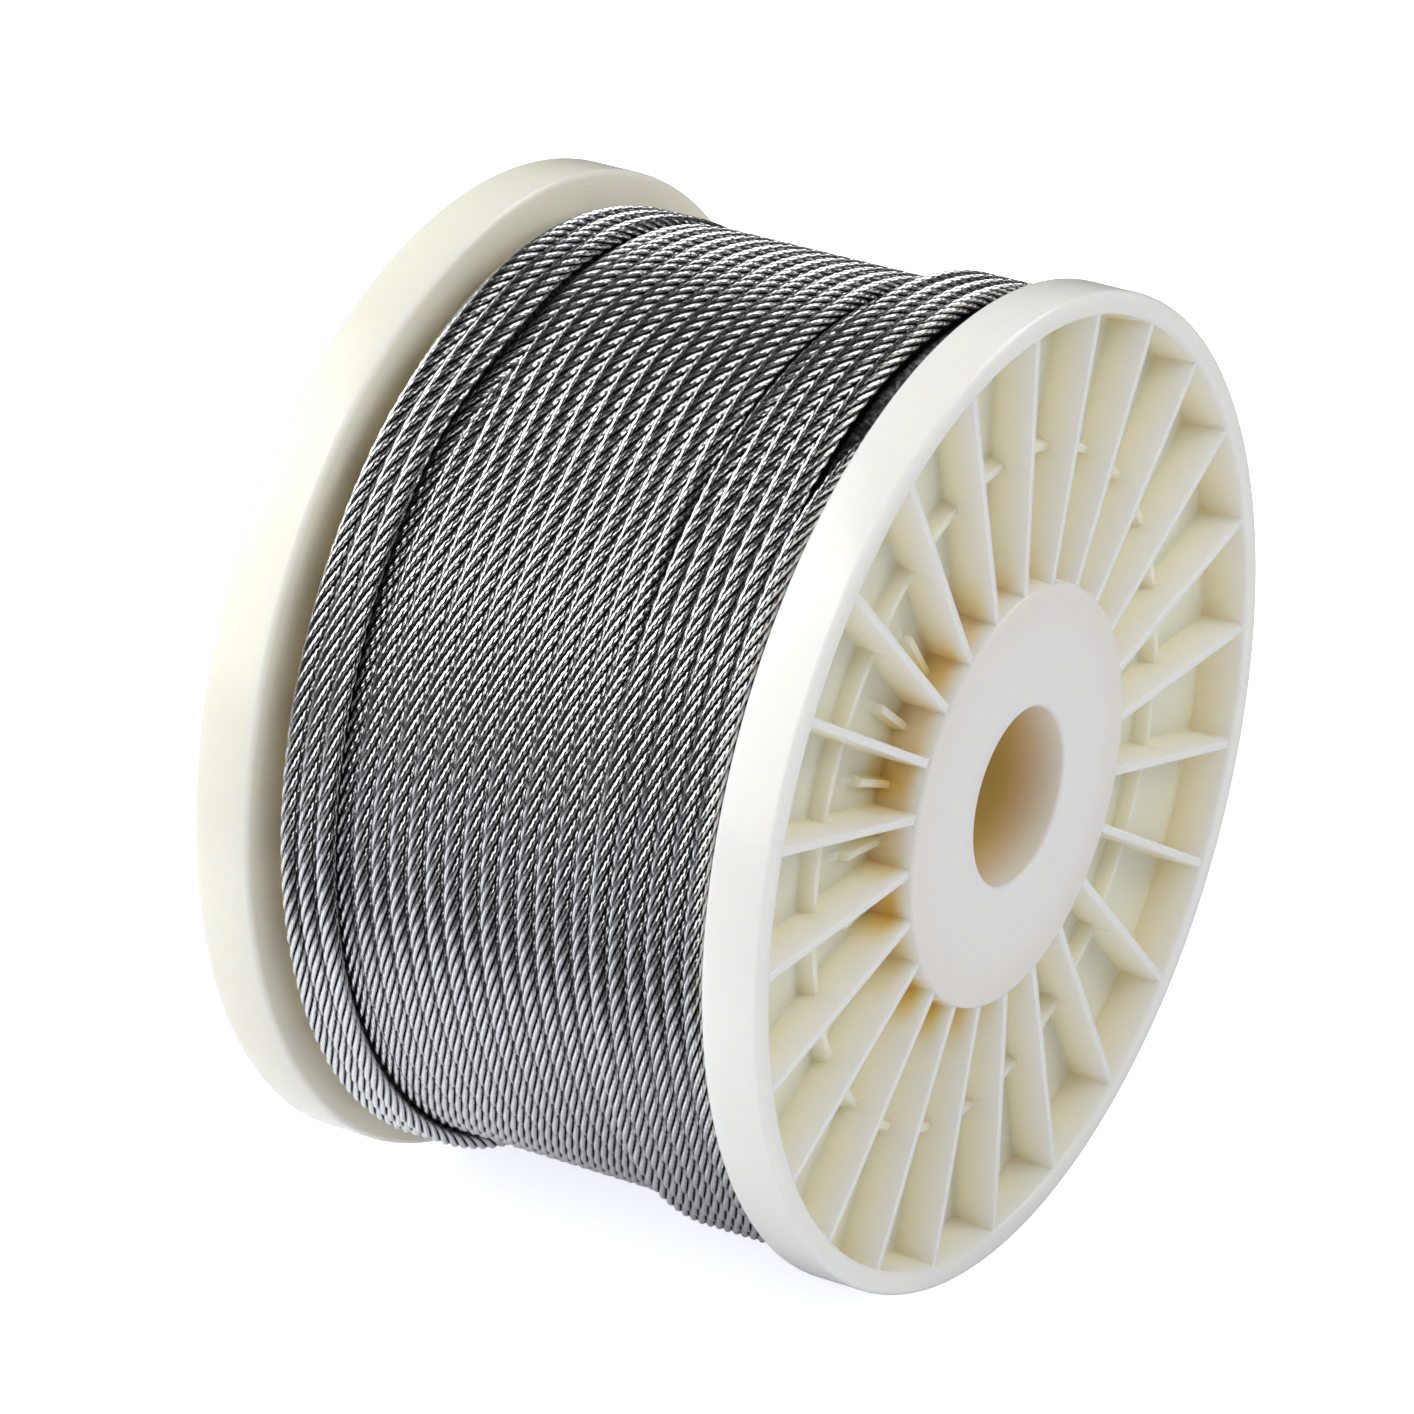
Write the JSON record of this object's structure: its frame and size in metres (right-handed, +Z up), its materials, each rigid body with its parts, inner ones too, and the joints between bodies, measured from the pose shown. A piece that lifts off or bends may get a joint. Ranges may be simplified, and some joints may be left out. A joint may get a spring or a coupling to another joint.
{
  "type": "wire rope reel",
  "caption": "Stainless steel wire rope wound on a cream plastic reel with ribbed flanges and a spindle bore, lying on its rims.",
  "frame": {"origin": "on the floor, under the middle of the reel", "axes": "+X along the reel's axis towards the near flange, +Z up"},
  "size_m": [0.125, 0.2, 0.2],
  "materials": {
    "reel_plastic": "moulded cream plastic, slightly translucent, satin gloss",
    "rope_steel": "bright drawn stainless steel wires"
  },
  "bodies": {
    "root": {"near_flange": "reel_plastic", "far_flange": "reel_plastic", "barrel": "reel_plastic", "wire_rope_winding": "rope_steel"}
  },
  "joints": []
}
